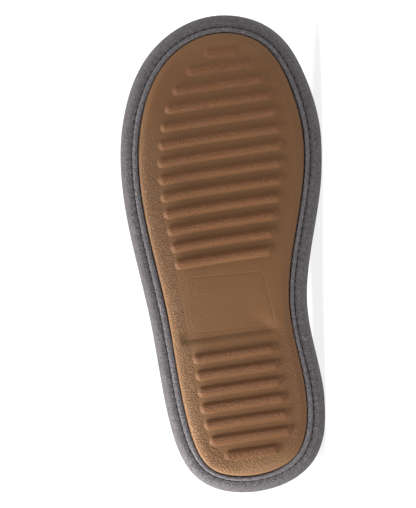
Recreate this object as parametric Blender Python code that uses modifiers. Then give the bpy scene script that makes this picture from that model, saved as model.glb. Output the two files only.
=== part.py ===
"""A closed slip-on house slipper for the right foot, lying on its inner side.

The shoe is worked out in its own frame, in millimetres: x runs from the back of the heel to the toe,
y points to the inner side of the foot, and z points up from the floor that the sole would stand on.
An empty then lays the shoe down on its inner side, so that the sole faces -Y and the toe points to +X.
"""

import functools
import math
from collections import namedtuple

import bmesh
import bpy
import numpy as np
from mathutils import Matrix

MM = 0.001

# Main sizes of the shoe, in millimetres
LENGTH = 250.0
BALL_WIDTH = 107.0
INSTEP_HEIGHT = 64.0
TOE_SPRING = 6.0
TOE_SPRING_FROM = 180.0
HEEL_ROLL = 1.0
HEEL_ROLL_FROM = 15.0
GAP = 0.3

# The upper: a padded cloth wall that rolls under the foot to a seam
WALL = 3.0
WALL_LEAN = math.radians(6.0)
WIDEST_HEIGHT = 12.0
SEAM_INSET = 5.6
SEAM_HEIGHT = 3.2
SEAM_LIP = 1.2

# The cloth panel under the foot, whose piped rim shows between the seam and the outsole
PANEL_EDGE = SEAM_INSET + GAP
PANEL_FACE = 4.2
PANEL_TOP = 6.0
PIPING_WIDTH = 2.3
PIPING_DEPTH = 0.6

# The insole pad
INSOLE_EDGE = WALL + 0.9
INSOLE_UNDER = PANEL_TOP + GAP + 0.2
INSOLE_TOP = 13.2

# The outsole, which reaches further back and out at the heel, and has a raised waist
OUTSOLE_EDGE = 9.2
OUTSOLE_TOP = PANEL_FACE - GAP
TREAD_DEPTH = 1.4
EDGE_ROUNDING = 1.0
HEEL_END = 60.0
HEEL_SHIFT = (-1.2, -0.8)
WAIST_FROM = 79.9
WAIST_STEP = 3.5
WAIST_TO = 118.0
WAIST_RISE = 0.9

# The ribs across the tread, by their outer and inner ends: the heel's, with the rearmost first, the
# forefoot's, whose ends follow the outline at a margin, and a short one at the toe
HEEL_RIB_FIRST = 20.8
HEEL_RIB_PITCH = 8.77
HEEL_RIB_ENDS = (
    (-15.3, 13.8),
    (-22.1, 21.5),
    (-23.6, 21.2),
    (-24.4, 20.9),
    (-24.4, 20.1),
    (-24.4, 19.9),
    (-24.6, 19.3),
)
FOREFOOT_RIB_FIRST = 124.4
FOREFOOT_RIB_PITCH = 9.0
FOREFOOT_RIB_COUNT = 12
FOREFOOT_RIB_MARGIN = 19.8
FOREFOOT_RIB_SHIFT = -0.5
TOE_RIB_PLACE = 232.4
TOE_RIB_ENDS = (4.0, 21.4)
RIB_WIDTH = 5.4
RIB_END_STEPS = 6

# How the shoe lies: the sole's tilt from upright, and how deep the floor presses its padded side
LYING_TILT = math.radians(9.0)
PRESSED_DEPTH = 1.2

# How finely the shapes are divided
LOOP_POINTS = 84
ROLL_STEPS = 4
WALL_STEPS = 11
BEND_STATIONS = (6, 12, 60, 90, 112, 150, 180, 190, 200, 210, 220, 230, 240)

# One row for each line of the upper from its widest edge up to the mouth. Along and mouth_along are
# shares of the length, out and mouth_out of the ball width (the inner side is positive), and
# mouth_height, rise and run of the instep height. Slope is the wall's angle at the mouth, in degrees.
Line = namedtuple("Line", "along out mouth_along mouth_out mouth_height slope rise run")
LINES = {
    "heel_back": Line(0.000, 0.000, 0.026, 0.000, 0.80, 84, 0.26, 0.20),
    "heel_outer_turn": Line(0.043, -0.283, 0.054, -0.232, 0.78, 84, 0.24, 0.19),
    "heel_outer": Line(0.160, -0.381, 0.164, -0.332, 0.70, 83, 0.20, 0.17),
    "waist_outer": Line(0.380, -0.408, 0.344, -0.328, 0.65, 77, 0.22, 0.18),
    "ball_outer": Line(0.640, -0.453, 0.468, -0.250, 0.79, 38, 0.36, 0.36),
    "toe_outer": Line(0.820, -0.393, 0.520, -0.140, 0.92, 26, 0.38, 0.62),
    "toe_outer_turn": Line(0.951, -0.197, 0.541, -0.050, 0.98, 23, 0.37, 0.78),
    "toe_tip": Line(1.000, 0.094, 0.546, 0.033, 1.00, 22, 0.36, 0.84),
    "toe_inner_turn": Line(0.954, 0.385, 0.541, 0.116, 0.98, 23, 0.37, 0.78),
    "toe_inner": Line(0.848, 0.513, 0.520, 0.206, 0.92, 26, 0.40, 0.62),
    "ball_inner": Line(0.720, 0.549, 0.476, 0.281, 0.81, 33, 0.44, 0.42),
    "joint_inner": Line(0.560, 0.475, 0.412, 0.312, 0.71, 56, 0.32, 0.27),
    "waist_inner": Line(0.368, 0.363, 0.320, 0.318, 0.66, 79, 0.22, 0.17),
    "heel_inner": Line(0.168, 0.380, 0.168, 0.336, 0.70, 83, 0.20, 0.17),
    "heel_inner_turn": Line(0.044, 0.277, 0.054, 0.232, 0.78, 84, 0.24, 0.19),
}
LINE_UNITS = Line(
    along=LENGTH,
    out=BALL_WIDTH,
    mouth_along=LENGTH,
    mouth_out=BALL_WIDTH,
    mouth_height=INSTEP_HEIGHT,
    slope=math.radians(1),
    rise=INSTEP_HEIGHT,
    run=INSTEP_HEIGHT,
)

# The flat pieces as stacks of rings, from the face under the foot upwards: how far each ring lies in
# from the shoe's widest outline, and its height
Ring = namedtuple("Ring", "inset height")
PANEL_RINGS = (
    Ring(PANEL_EDGE + PIPING_WIDTH + 0.4, PANEL_FACE),
    Ring(PANEL_EDGE + PIPING_WIDTH, PANEL_FACE - 0.2),
    Ring(PANEL_EDGE + PIPING_WIDTH / 2, PANEL_FACE - PIPING_DEPTH),
    Ring(PANEL_EDGE + 0.4, PANEL_FACE - 0.2),
    Ring(PANEL_EDGE + 0.2, PANEL_FACE + 0.5),
    Ring(PANEL_EDGE + 1.0, PANEL_TOP),
)
INSOLE_RINGS = (
    Ring(INSOLE_EDGE + 1.9, INSOLE_UNDER),
    Ring(INSOLE_EDGE + 0.5, INSOLE_UNDER + 2.2),
    Ring(INSOLE_EDGE, WIDEST_HEIGHT - 1.6),
    Ring(INSOLE_EDGE + 0.5, INSOLE_TOP - 1.0),
    Ring(INSOLE_EDGE + 2.2, INSOLE_TOP - 0.2),
    Ring(INSOLE_EDGE + 5.0, INSOLE_TOP),
)
OUTSOLE_RINGS = (
    Ring(OUTSOLE_EDGE + EDGE_ROUNDING, TREAD_DEPTH),
    Ring(OUTSOLE_EDGE + 0.3 * EDGE_ROUNDING, TREAD_DEPTH + 0.3 * EDGE_ROUNDING),
    Ring(OUTSOLE_EDGE, TREAD_DEPTH + EDGE_ROUNDING),
    Ring(OUTSOLE_EDGE, OUTSOLE_TOP),
)

# The rounded cross section of a rib: how much narrower it is on each side, and its height
RIB_RINGS = (
    Ring(1.7, 0.0),
    Ring(1.0, 0.1),
    Ring(0.4, 0.5),
    Ring(0.0, TREAD_DEPTH - 0.2),
    Ring(-0.2, TREAD_DEPTH + 0.8),
)

MATERIALS = {
    "tan_rubber": {"colour": (0.221, 0.107, 0.049), "roughness": 0.6},
    "grey_suede": {"colour": (0.168, 0.155, 0.162), "roughness": 0.95},
    "pale_fleece": {"colour": (0.392, 0.376, 0.376), "roughness": 1.0},
}


def closed_spline(rows, count):
    """Rows at even steps along the smooth closed curve through the given rows."""
    number = len(rows)
    spans = np.linalg.norm(np.roll(rows, -1, 0)[:, :2] - rows[:, :2], axis=1)
    before = np.roll(spans, 1)
    system = np.zeros((number, number))
    for i in range(number):
        system[i, i - 1] = before[i]
        system[i, i] = 2 * (before[i] + spans[i])
        system[i, (i + 1) % number] = spans[i]
    rates = (np.roll(rows, -1, 0) - rows) / spans[:, None]
    bends = np.linalg.solve(system, 6 * (rates - np.roll(rates, 1, 0)))
    starts = np.concatenate([[0.0], np.cumsum(spans)])
    made = []
    for place in np.linspace(0, starts[-1], count, endpoint=False):
        i = int(np.searchsorted(starts, place, "right")) - 1
        j = (i + 1) % number
        span = spans[i]
        past = place - starts[i]
        left = span - past
        made.append(
            (bends[i] * left**3 + bends[j] * past**3) / (6 * span)
            + (rows[i] / span - bends[i] * span / 6) * left
            + (rows[j] / span - bends[j] * span / 6) * past
        )
    return np.array(made)


@functools.cache
def upper_lines():
    """The upper's lines in millimetres and radians, one row for each point around the shoe."""
    return closed_spline(np.array(list(LINES.values())) * np.array(LINE_UNITS), LOOP_POINTS)


def outline_loop(inset):
    """The shoe's widest outline, moved in by this much, as x and y."""
    outline = upper_lines()[:, :2]
    along = np.roll(outline, -1, 0) - np.roll(outline, 1, 0)
    along /= np.linalg.norm(along, axis=1)[:, None]
    inward = np.stack([-along[:, 1], along[:, 0]], 1)
    return outline + inset * inward


def sole_loop(inset):
    """A loop of the sole: the outline moved in, and past the seam also shifted at the heel."""
    loop = outline_loop(inset)
    past_seam = np.clip((inset - PANEL_EDGE) / (OUTSOLE_EDGE - PANEL_EDGE), 0, 1)
    at_heel = np.clip(1 - loop[:, 0] / HEEL_END, 0, 1)
    return loop + past_seam * at_heel[:, None] * np.array(HEEL_SHIFT)


def stacked(rings, loop):
    """The points of a stack of rings, each on the loop for its inset."""
    stack = []
    for ring in rings:
        plan = loop(ring.inset)
        stack.append(np.column_stack([plan, np.full(len(plan), ring.height)]))
    return stack


def lifted(points):
    """Points bent up with the whole shoe at the toe and at the back of the heel."""
    points = np.array(points, float)
    toe = np.clip((points[:, 0] - TOE_SPRING_FROM) / (LENGTH - TOE_SPRING_FROM), 0, None)
    heel = np.clip(1 - points[:, 0] / HEEL_ROLL_FROM, 0, None)
    points[:, 2] += TOE_SPRING * toe**2 + HEEL_ROLL * heel**2
    return points


@functools.cache
def upper_rows():
    """The outer surface of the upper, row by row from the seam under the foot up to the mouth."""
    roll = [Ring(SEAM_INSET, SEAM_HEIGHT)]
    for turn in np.linspace(math.pi / 2, 0, ROLL_STEPS + 1)[:-1]:
        inset = (SEAM_INSET - SEAM_LIP) * (1 - math.cos(turn))
        roll.append(Ring(inset, WIDEST_HEIGHT - (WIDEST_HEIGHT - SEAM_HEIGHT) * math.sin(turn)))
    rows = stacked(roll, outline_loop)
    lines = Line(*upper_lines().T)
    base = np.column_stack([lines.along, lines.out])
    mouth = np.column_stack([lines.mouth_along, lines.mouth_out])
    reach = np.linalg.norm(mouth - base, axis=1)
    across = [
        np.zeros(LOOP_POINTS),
        lines.rise * math.tan(WALL_LEAN),
        reach - lines.run * np.cos(lines.slope),
        reach,
    ]
    upward = [
        np.full(LOOP_POINTS, WIDEST_HEIGHT),
        WIDEST_HEIGHT + lines.rise,
        lines.mouth_height - lines.run * np.sin(lines.slope),
        lines.mouth_height,
    ]
    for step in np.linspace(0, 1, WALL_STEPS + 1):
        weights = ((1 - step) ** 3, 3 * step * (1 - step) ** 2, 3 * step**2 * (1 - step), step**3)
        share = sum(weight * part for weight, part in zip(weights, across)) / reach
        height = sum(weight * part for weight, part in zip(weights, upward))
        rows.append(np.column_stack([base + share[:, None] * (mouth - base), height]))
    return [lifted(row) for row in rows]


def lying_turn():
    """The turn from the shoe's own frame to the frame in which it lies on its inner side."""
    heel, ball = LINES["heel_inner"], LINES["ball_inner"]
    swing = math.atan2((ball.out - heel.out) * BALL_WIDTH, (ball.along - heel.along) * LENGTH)
    return Matrix.Rotation(-math.pi / 2 - LYING_TILT, 3, "X") @ Matrix.Rotation(-swing, 3, "Z")


def pressed(points, clearance=0.0):
    """Points nearer than the clearance to the floor under the lying shoe, pushed back from it."""
    down = -np.array(lying_turn())[2]
    floor = max((row @ down).max() for row in upper_rows()) - PRESSED_DEPTH
    past = np.clip(points @ down - (floor - clearance), 0, None)
    return points - past[:, None] * down


def make_material(name, colour, roughness):
    made = bpy.data.materials.new(name)
    made.use_nodes = True
    shader = made.node_tree.nodes["Principled BSDF"]
    shader.inputs["Base Color"].default_value = (*colour, 1.0)
    shader.inputs["Roughness"].default_value = roughness


def loft(rings, closed_ends):
    """A mesh through rings of the same number of points, from the lowest ring to the highest."""
    mesh = bmesh.new()
    made = [[mesh.verts.new(point) for point in ring] for ring in rings]
    count = len(made[0])
    for low, high in zip(made, made[1:]):
        for i in range(count):
            j = (i + 1) % count
            mesh.faces.new((low[i], low[j], high[j], high[i]))
    if closed_ends:
        mesh.faces.new(made[0][::-1])
        mesh.faces.new(made[-1])
    return mesh


def cut_across(mesh, stations):
    """Gives the mesh edges across the shoe at these places, so that it can bend there."""
    for station in stations:
        whole = mesh.verts[:] + mesh.edges[:] + mesh.faces[:]
        bmesh.ops.bisect_plane(mesh, geom=whole, dist=1e-4, plane_co=(station, 0, 0), plane_no=(1, 0, 0))


def move_points(mesh, change):
    """Applies a function to all the points of the mesh."""
    points = change(np.array([vert.co for vert in mesh.verts]))
    for vert, point in zip(mesh.verts, points):
        vert.co = point


def add_object(name, mesh, material, collection, frame):
    """An object in metres, in the lying shoe's frame."""
    bmesh.ops.scale(mesh, vec=(MM, MM, MM), verts=mesh.verts)
    data = bpy.data.meshes.new(name)
    mesh.to_mesh(data)
    mesh.free()
    data.shade_smooth()
    data.set_sharp_from_angle(angle=math.radians(40))
    data.materials.append(bpy.data.materials[material])
    made = bpy.data.objects.new(name, data)
    made.parent = frame
    collection.objects.link(made)
    return made


def make_upper(collection, frame):
    """One padded wall around the whole foot, open at the mouth and underneath."""
    mesh = loft([pressed(row) for row in upper_rows()], closed_ends=False)
    upper = add_object("upper", mesh, "grey_suede", collection, frame)
    wall = upper.modifiers.new("wall", "SOLIDIFY")
    wall.thickness = WALL * MM
    wall.offset = -1
    wall.use_even_offset = True


def make_sole_panel(collection, frame):
    """The cloth panel that closes the upper underneath, with a piped rim along the seam."""
    mesh = loft(stacked(PANEL_RINGS, sole_loop), closed_ends=True)
    cut_across(mesh, BEND_STATIONS)
    move_points(mesh, lifted)
    add_object("sole_panel", mesh, "grey_suede", collection, frame)


def make_insole(collection, frame):
    """The foot pad inside the upper, with a rounded rim."""
    mesh = loft(stacked(INSOLE_RINGS, outline_loop), closed_ends=True)
    cut_across(mesh, BEND_STATIONS)
    move_points(mesh, lambda points: pressed(lifted(points), WALL + GAP))
    add_object("insole", mesh, "pale_fleece", collection, frame)


def raise_waist(points):
    """The outsole's lower face raised behind the heel's step, and falling back to the forefoot."""
    points = np.array(points, float)
    along = points[:, 0]
    step = np.clip((along - WAIST_FROM) / WAIST_STEP, 0, 1)
    fall = np.clip((WAIST_TO - along) / (WAIST_TO - WAIST_FROM - WAIST_STEP), 0, 1)
    lower = points[:, 2] < TREAD_DEPTH + EDGE_ROUNDING
    points[:, 2] += np.where(lower, WAIST_RISE * np.minimum(step, fall), 0)
    return points


def forefoot_rib_ends(place):
    """The outer and inner end of a forefoot rib at this place along the shoe."""
    loop = sole_loop(FOREFOOT_RIB_MARGIN)
    crossings = []
    for start, end in zip(loop, np.roll(loop, -1, 0)):
        if (start[0] - place) * (end[0] - place) < 0:
            share = (place - start[0]) / (end[0] - start[0])
            crossings.append(start[1] + share * (end[1] - start[1]))
    return min(crossings) + FOREFOOT_RIB_SHIFT, max(crossings) + FOREFOOT_RIB_SHIFT


def rib_spans():
    """The place along the shoe and the two ends of every rib of the tread."""
    spans = [(TOE_RIB_PLACE, *TOE_RIB_ENDS)]
    for number, ends in enumerate(HEEL_RIB_ENDS):
        spans.append((HEEL_RIB_FIRST + HEEL_RIB_PITCH * number, *ends))
    for number in range(FOREFOOT_RIB_COUNT):
        place = FOREFOOT_RIB_FIRST + FOREFOOT_RIB_PITCH * number
        spans.append((place, *forefoot_rib_ends(place)))
    return spans


def rib_loop(place, outer, inner, inset):
    """A loop with round ends around a rib, moved in by this much from its full width."""
    full = RIB_WIDTH / 2
    radius = full - inset
    loop = []
    for middle, begin in ((outer + full, math.pi), (inner - full, 0.0)):
        for step in range(RIB_END_STEPS + 1):
            angle = begin + math.pi * step / RIB_END_STEPS
            loop.append((place + radius * math.cos(angle), middle + radius * math.sin(angle)))
    return np.array(loop)


def make_ribs(collection, frame):
    """The raised bars of the tread, as helpers that are joined to the outsole."""
    for number, span in enumerate(rib_spans()):
        rings = stacked(RIB_RINGS, lambda inset: rib_loop(*span, inset))
        mesh = loft(rings, closed_ends=True)
        move_points(mesh, lifted)
        rib = add_object(f"rib_{number}", mesh, "tan_rubber", collection, frame)
        rib.hide_render = True
        rib.display_type = "WIRE"


def make_outsole(collection, frame, ribs):
    """The moulded rubber sole, with a rounded edge, a raised waist and ribs across the tread."""
    mesh = loft(stacked(OUTSOLE_RINGS, sole_loop), closed_ends=True)
    cut_across(mesh, BEND_STATIONS + (WAIST_FROM, WAIST_FROM + WAIST_STEP, WAIST_TO))
    move_points(mesh, lambda points: lifted(raise_waist(points)))
    outsole = add_object("outsole", mesh, "tan_rubber", collection, frame)
    join = outsole.modifiers.new("ribs", "BOOLEAN")
    join.operation = "UNION"
    join.operand_type = "COLLECTION"
    join.collection = ribs


def lay_down(collection, frame):
    """Turns the shoe onto its inner side, with the middle of its underside at the origin."""
    frame.matrix_world = lying_turn().to_4x4()
    bpy.context.view_layer.update()
    graph = bpy.context.evaluated_depsgraph_get()
    corners = []
    for part in collection.objects:
        if part.type == "MESH":
            solid = part.evaluated_get(graph)
            corners += [solid.matrix_world @ vert.co for vert in solid.data.vertices]
    low, high = np.min(corners, axis=0), np.max(corners, axis=0)
    frame.location = (-(low[0] + high[0]) / 2, -(low[1] + high[1]) / 2, -low[2])


def main():
    for old in list(bpy.data.objects):
        bpy.data.objects.remove(old)
    slipper = bpy.data.collections.new("slipper")
    helpers = bpy.data.collections.new("helpers")
    for collection in (slipper, helpers):
        bpy.context.scene.collection.children.link(collection)
    for name, look in MATERIALS.items():
        make_material(name, **look)
    frame = bpy.data.objects.new("lying_frame", None)
    slipper.objects.link(frame)
    make_upper(slipper, frame)
    make_sole_panel(slipper, frame)
    make_insole(slipper, frame)
    make_ribs(helpers, frame)
    make_outsole(slipper, frame, helpers)
    lay_down(slipper, frame)


main()
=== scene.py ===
"""The looks of the house slipper: cloth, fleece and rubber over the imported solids.

Shapes are worked out in the shoe's own frame, in millimetres, as in the part's source: x runs from the
back of the heel to the toe, y points to the inner side of the foot, and z points up from the floor that
the sole would stand on. to_frame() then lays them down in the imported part's frame, in metres.
"""

import itertools
import math
from collections import namedtuple

import bpy
import numpy as np
from mathutils import Matrix, Vector


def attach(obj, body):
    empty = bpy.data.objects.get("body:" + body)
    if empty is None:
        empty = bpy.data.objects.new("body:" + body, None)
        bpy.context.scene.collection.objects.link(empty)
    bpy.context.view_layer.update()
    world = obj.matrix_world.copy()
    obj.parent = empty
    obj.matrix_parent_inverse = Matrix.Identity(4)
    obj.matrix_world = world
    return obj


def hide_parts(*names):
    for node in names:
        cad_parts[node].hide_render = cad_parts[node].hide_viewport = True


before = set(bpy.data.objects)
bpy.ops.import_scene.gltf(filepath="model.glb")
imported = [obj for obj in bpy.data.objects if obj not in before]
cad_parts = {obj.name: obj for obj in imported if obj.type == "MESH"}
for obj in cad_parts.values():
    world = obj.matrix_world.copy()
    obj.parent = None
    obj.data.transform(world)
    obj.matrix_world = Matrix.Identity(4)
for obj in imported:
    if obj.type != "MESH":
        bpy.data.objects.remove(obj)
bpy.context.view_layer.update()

MM = 0.001

# Main sizes of the shoe, as in the part's source
LENGTH = 250.0
BALL_WIDTH = 107.0
INSTEP_HEIGHT = 64.0
TOE_SPRING = 6.0
TOE_SPRING_FROM = 180.0
HEEL_ROLL = 1.0
HEEL_ROLL_FROM = 15.0
GAP = 0.3
WALL = 3.0
WALL_LEAN = math.radians(6.0)
WIDEST_HEIGHT = 12.0
SEAM_INSET = 5.6
SEAM_HEIGHT = 3.2
PANEL_EDGE = SEAM_INSET + GAP
OUTSOLE_EDGE = 9.2
OUTSOLE_TOP = 3.9
TREAD_DEPTH = 1.4
HEEL_END = 60.0
HEEL_SHIFT = (-1.2, -0.8)
LYING_TILT = math.radians(9.0)

# The waist between heel and forefoot, placed as in the part's source, but deeper and with soft sides
WAIST_FROM = 79.9
WAIST_STEP = 3.5
WAIST_STEP_POWER = 1.7
WAIST_TO = 118.0
WAIST_RISE = 1.4
WAIST_MARGINS = ((-0.2, 1.6), (1.2, 9.0))
WAIST_EASE = 12.0
WAIST_EASE_SPAN = (84.0, 96.0)

# Where the shoe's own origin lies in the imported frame, in millimetres
OWN_ORIGIN = np.array((-124.58, -31.6, 36.06))

# The ribs across the tread, as in the part's source apart from small shifts near the toe
HEEL_RIB_FIRST = 20.8
HEEL_RIB_PITCH = 8.77
HEEL_RIB_ENDS = (
    (-15.3, 13.8),
    (-22.1, 21.5),
    (-23.6, 21.2),
    (-24.4, 20.9),
    (-24.4, 20.1),
    (-24.4, 19.9),
    (-24.6, 19.3),
)
FOREFOOT_RIB_FIRST = 124.4
FOREFOOT_RIB_PITCH = 9.0
FOREFOOT_RIB_COUNT = 12
FOREFOOT_RIB_MARGIN = 19.8
FOREFOOT_RIB_SHIFTS = ((180.0, -0.5), (205.0, 0.3), (223.0, 0.9))
TOE_RIB_PLACE = 231.4
TOE_RIB_ENDS = (4.5, 22.4)
RIB_WIDTH = 5.4

# A rib's domed section, and how high it stands at places along the shoe
RIB_HALF = 2.75
RIB_POWER = 2.7
RIB_SHIFT = -0.25
RIB_BOW = 0.00037
RIB_BOW_FROM = 10.0
RIB_FILLET = 0.08
RIB_SHARE_GAIN = 1.3
RIB_HEIGHTS = (
    (20.0, 2.3),
    (40.0, 2.1),
    (75.0, 2.05),
    (124.0, 2.15),
    (160.0, 1.9),
    (180.0, 1.55),
    (205.0, 1.45),
    (214.0, 1.2),
    (223.0, 0.8),
    (232.0, 0.5),
)

# The lines of the upper from its widest edge up to the mouth, as in the part's source
Line = namedtuple("Line", "along out mouth_along mouth_out mouth_height slope rise run")
LINES = {
    "heel_back": Line(0.000, 0.000, 0.026, 0.000, 0.80, 84, 0.26, 0.20),
    "heel_outer_turn": Line(0.043, -0.283, 0.054, -0.232, 0.78, 84, 0.24, 0.19),
    "heel_outer": Line(0.160, -0.381, 0.164, -0.332, 0.70, 83, 0.20, 0.17),
    "waist_outer": Line(0.380, -0.408, 0.344, -0.328, 0.65, 77, 0.22, 0.18),
    "ball_outer": Line(0.640, -0.453, 0.468, -0.250, 0.79, 38, 0.36, 0.36),
    "toe_outer": Line(0.820, -0.393, 0.520, -0.140, 0.92, 26, 0.38, 0.62),
    "toe_outer_turn": Line(0.951, -0.197, 0.541, -0.050, 0.98, 23, 0.37, 0.78),
    "toe_tip": Line(1.000, 0.094, 0.546, 0.033, 1.00, 22, 0.36, 0.84),
    "toe_inner_turn": Line(0.954, 0.385, 0.541, 0.116, 0.98, 23, 0.37, 0.78),
    "toe_inner": Line(0.848, 0.513, 0.520, 0.206, 0.92, 26, 0.40, 0.62),
    "ball_inner": Line(0.720, 0.549, 0.476, 0.281, 0.81, 33, 0.44, 0.42),
    "joint_inner": Line(0.560, 0.475, 0.412, 0.312, 0.71, 56, 0.32, 0.27),
    "waist_inner": Line(0.368, 0.363, 0.320, 0.318, 0.66, 79, 0.22, 0.17),
    "heel_inner": Line(0.168, 0.380, 0.168, 0.336, 0.70, 83, 0.20, 0.17),
    "heel_inner_turn": Line(0.044, 0.277, 0.054, 0.232, 0.78, 84, 0.24, 0.19),
}
LINE_UNITS = Line(
    along=LENGTH,
    out=BALL_WIDTH,
    mouth_along=LENGTH,
    mouth_out=BALL_WIDTH,
    mouth_height=INSTEP_HEIGHT,
    slope=math.radians(1),
    rise=INSTEP_HEIGHT,
    run=INSTEP_HEIGHT,
)
LINE_TABLE = np.array(list(LINES.values())) * np.array(LINE_UNITS)

# The seam runs this much nearer the edge at the heel, and to one side at these places along the shoe
SEAM_HEEL_NARROWER = 0.5
SEAM_HEEL_SPAN = (85.0, 30.0)
SEAM_SIDE_SHIFTS = ((0.0, -0.2), (45.0, -0.35), (95.0, -0.6), (165.0, -0.2), (220.0, 0.0))

# How finely the shapes are divided
UPPER_POINTS = 720
ROLL_STEPS = 14
WALL_STEPS = 44
LINING_STEPS = 26
RIM_STEPS = 7
PANEL_POINTS = 1200
INSOLE_POINTS = 480
INSOLE_COLUMNS = 40
OUTSOLE_COLUMNS = 84
COLUMN_CROWDING = 0.08
STATION_STEP = 0.42
END_STATIONS = 40
END_LENGTH = 6.0
DENSE_POINTS = 6000
TINY_SHARE = 1e-4

# Smooth noise: how many random values it draws on, and the primes that pick one for each cell
NOISE_VALUES = 4096
NOISE_PRIMES = (73856093, 19349663, 83492791)

# Stitches: along the seam under the foot, and around the collar
SEAM_PITCH = 4.0
SEAM_STITCH = 1.8
SEAM_THREAD = 0.37
SEAM_STITCH_INSET = 6.05
SEAM_STITCH_SUNK = 0.36
COLLAR_PITCH = 3.2
COLLAR_STITCH = 2.3
COLLAR_THREAD = 0.28
COLLAR_MARGIN = 6.0
COLLAR_STITCH_RAISED = 0.15
COLLAR_CLEARANCE = 0.05
THREAD_SIDES = 6
THREAD_SECTIONS = 5
THREAD_SINK = 0.35
THREAD_TIP = 0.09
THREAD_LOOK_AHEAD = 0.2

# How the seam's stitches draw in the cloth on its two sides
SEAM_PUCKER = 0.16
PUCKER_FADE = 1.6
PANEL_PUCKER = 0.7 * SEAM_PUCKER
PANEL_PUCKER_SPAN = (8.2, 6.2)
PANEL_UNDERSIDE = 5.0
PANEL_LUMP_SIZE = 3.0
PANEL_LUMP_DEPTH = 0.05

# The upper's creases: soft troughs (depth above zero) and ridges, each along a line seen from above
Crease = namedtuple("Crease", "start end depth width")
CREASES = (
    Crease(start=(168.0, -30.0), end=(176.0, 36.0), depth=0.9, width=5.0),
    Crease(start=(180.0, -26.0), end=(187.0, 34.0), depth=-0.5, width=5.0),
    Crease(start=(191.0, -20.0), end=(198.0, 38.0), depth=0.7, width=4.5),
    Crease(start=(120.0, -40.0), end=(150.0, -26.0), depth=0.8, width=5.0),
    Crease(start=(104.0, 34.0), end=(136.0, 34.0), depth=0.7, width=5.0),
    Crease(start=(18.0, -27.0), end=(46.0, -38.0), depth=0.5, width=4.0),
)
CREASE_LEAST = 0.35
CREASE_FADE = 0.25
CREASE_HEIGHTS = (WIDEST_HEIGHT + 6.0, WIDEST_HEIGHT + 16.0)

# The upper's softness: its swollen edge, slack cloth, the turned rim of the mouth and the lining's pile
EDGE_PUFF = 0.5
PUFF_LEAST = 0.3
PUFF_TOE_SPAN = (205.0, 235.0)
PUFF_HEEL_SPAN = (70.0, 30.0)
SLACK_SIZE = 26.0
SLACK_DEPTH = 0.35
SLACK_HEIGHTS = (WIDEST_HEIGHT, WIDEST_HEIGHT + 12.0)
RIM_CROWN = 0.9
COLLAR_GROOVE = 0.35
COLLAR_GROOVE_WIDTH = 0.9
PILE_SIZE = 2.6
LINING_PILE = 0.35

# The insole's pile, and the shallow cup under the heel
INSOLE_PILE = 0.3
CUP_PLACE = 42.0
CUP_LENGTH = 26.0
CUP_WIDTH = 22.0
CUP_DEPTH = 1.2

# Rings around the shoe, each by how far in from the widest outline it lies, and how high
Ring = namedtuple("Ring", "inset height")
SEAM_RINGS = (
    Ring(6.08, 4.3),
    Ring(6.06, 3.72),
    Ring(5.94, 3.55),
    Ring(5.68, 3.43),
    Ring(5.35, 3.34),
    Ring(4.9, 3.28),
)
TUCKED_WALL = Ring(3.6, 8.6)
TUCKED_RINGS = (Ring(5.0, 6.2), Ring(SEAM_INSET, 5.6))
ROLL_CREST = 4.2
ROLL_POWER = 2.4
CORD_MIDDLE = Ring(7.58, 3.6)
CORD_HALF = 1.34
CORD_RISE = 1.2
CORD_TURNS = np.radians(np.linspace(176, 4, 15))
CORD_RINGS = tuple(
    Ring(CORD_MIDDLE.inset - CORD_HALF * math.cos(turn), CORD_MIDDLE.height - CORD_RISE * math.sin(turn))
    for turn in CORD_TURNS
)
PANEL_RINGS = (
    Ring(24.0, 4.4),
    Ring(9.6, 4.4),
    Ring(8.5, 4.5),
    *CORD_RINGS,
    Ring(6.28, 4.6),
    Ring(6.9, 6.0),
    Ring(24.0, 6.0),
)
INSOLE_RINGS = (
    Ring(24.0, 6.6),
    Ring(5.8, 6.6),
    Ring(4.4, 8.7),
    Ring(3.95, 10.4),
    Ring(4.1, 11.4),
    Ring(4.5, 12.2),
    Ring(5.3, 12.8),
    Ring(6.4, 13.05),
    Ring(8.9, 13.2),
    Ring(13.0, 13.2),
)
OUTSOLE_RINGS = (
    Ring(9.2, OUTSOLE_TOP),
    Ring(9.24, 2.85),
    Ring(9.32, 2.62),
    Ring(9.5, 2.47),
    Ring(9.9, 2.29),
    Ring(10.4, 2.09),
    Ring(11.0, 1.87),
    Ring(11.7, 1.65),
    Ring(12.4, 1.49),
    Ring(13.0, 1.42),
    Ring(13.4, TREAD_DEPTH),
)
OUTSOLE_FIELD = OUTSOLE_RINGS[-1].inset

# The outsole lies this much farther in around the ball and behind the heel
OUTSOLE_TRIM = 0.35
TRIM_WAIST_SPAN = (70.0, 110.0)
TRIM_TOE_SPAN = (225.0, 200.0)
TRIM_HEEL_SPAN = (14.0, 8.0)

# The bare moulded panel at the waist, by its corners, and how they are rounded
WAIST_PANEL = np.array(((115.8, -22.8), (113.7, 18.2), (85.3, 20.8), (87.0, -23.4)))
PANEL_ROUNDING = 4.0
PANEL_CORNER_STEPS = 6

# Where the tread has its pebbled grain: shares, and spans from none to all along or across the shoe
GRAIN_LEAST = 0.06
GRAIN_FROM_RIBS = (-0.4, 1.0)
GRAIN_FROM_EDGE = (0.6, 1.6)
GRAIN_ACROSS = (4.0, -16.0)
GRAIN_BALL_SPAN = (215.0, 165.0)
GRAIN_FOREFOOT = 0.9
GRAIN_WAIST_SPAN = (90.0, 70.0)
GRAIN_HEEL = 0.5
GRAIN_HEEL_SPAN = (95.0, 60.0)
GRAIN_ON_RIBS = 0.45

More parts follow.
